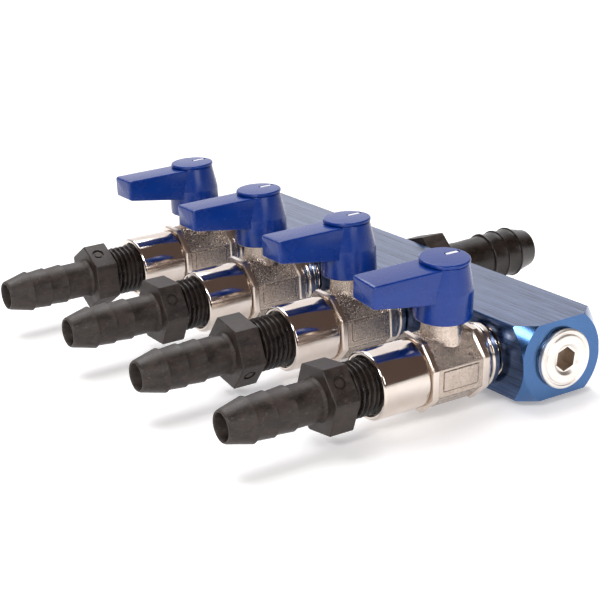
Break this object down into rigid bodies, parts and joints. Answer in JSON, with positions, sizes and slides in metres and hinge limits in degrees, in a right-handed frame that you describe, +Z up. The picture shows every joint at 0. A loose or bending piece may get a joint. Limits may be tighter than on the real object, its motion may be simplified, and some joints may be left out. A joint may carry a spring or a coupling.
{
  "type": "hose splitter",
  "caption": "Metal bar manifold that splits one hose into several: a ribbed inlet tail behind, lever ball valves with ribbed hose tails in front, screwed plugs in the ends.",
  "frame": {"origin": "centre of the bar's flat underside", "axes": "+X along the bar, outlets and open levers point to -Y, inlet tail to +Y, +Z up along the valve stems"},
  "size_m": [0.1458, 0.1289, 0.0374],
  "materials": {
    "anodised_blue": "satin blue anodised, brushed along its length",
    "nickel": "nickel plated, polished and bead blasted",
    "steel": "turned",
    "brass": "turned",
    "blue_plastic": "semi-gloss moulded",
    "black_nylon": "matt glass-filled nylon",
    "white_ptfe": "smooth",
    "black_rubber": "matt"
  },
  "bodies": {
    "base": {"manifold_bar": "anodised_blue", "end_plug_right": "nickel", "plug_washer_right": "steel", "end_plug_left": "nickel", "plug_washer_left": "steel", "inlet_tail": "black_nylon", "inlet_seal": "black_rubber", "valve_body_1": "nickel", "valve_sleeve_1": "nickel", "seat_rear_1": "white_ptfe", "seat_front_1": "white_ptfe", "stem_seal_1": "black_rubber", "outlet_tail_1": "black_nylon", "valve_body_2": "nickel", "valve_sleeve_2": "nickel", "seat_rear_2": "white_ptfe", "seat_front_2": "white_ptfe", "stem_seal_2": "black_rubber", "outlet_tail_2": "black_nylon", "valve_body_3": "nickel", "valve_sleeve_3": "nickel", "seat_rear_3": "white_ptfe", "seat_front_3": "white_ptfe", "stem_seal_3": "black_rubber", "outlet_tail_3": "black_nylon", "valve_body_4": "nickel", "valve_sleeve_4": "nickel", "seat_rear_4": "white_ptfe", "seat_front_4": "white_ptfe", "stem_seal_4": "black_rubber", "outlet_tail_4": "black_nylon"},
    "lever_1": {"ball_1": "steel", "stem_1": "brass", "handle_1": "blue_plastic", "handle_screw_1": "steel", "handle_cap_1": "blue_plastic"},
    "lever_2": {"ball_2": "steel", "stem_2": "brass", "handle_2": "blue_plastic", "handle_screw_2": "steel", "handle_cap_2": "blue_plastic"},
    "lever_3": {"ball_3": "steel", "stem_3": "brass", "handle_3": "blue_plastic", "handle_screw_3": "steel", "handle_cap_3": "blue_plastic"},
    "lever_4": {"ball_4": "steel", "stem_4": "brass", "handle_4": "blue_plastic", "handle_screw_4": "steel", "handle_cap_4": "blue_plastic"}
  },
  "joints": [
    {"name": "lever_1_turn", "type": "hinge", "parent": "base", "child": "lever_1", "pos_m": [0.057, -0.0235, 0.009], "axis": [0.1045, 0, 0.9945], "range_deg": [-90, 0]},
    {"name": "lever_2_turn", "type": "hinge", "parent": "base", "child": "lever_2", "pos_m": [0.019, -0.0223, 0.009], "axis": [0, 0, 1], "range_deg": [-90, 0]},
    {"name": "lever_3_turn", "type": "hinge", "parent": "base", "child": "lever_3", "pos_m": [-0.019, -0.0244, 0.009], "axis": [0, 0, 1], "range_deg": [-90, 0]},
    {"name": "lever_4_turn", "type": "hinge", "parent": "base", "child": "lever_4", "pos_m": [-0.057, -0.0234, 0.009], "axis": [0, 0, 1], "range_deg": [-90, 0]}
  ]
}
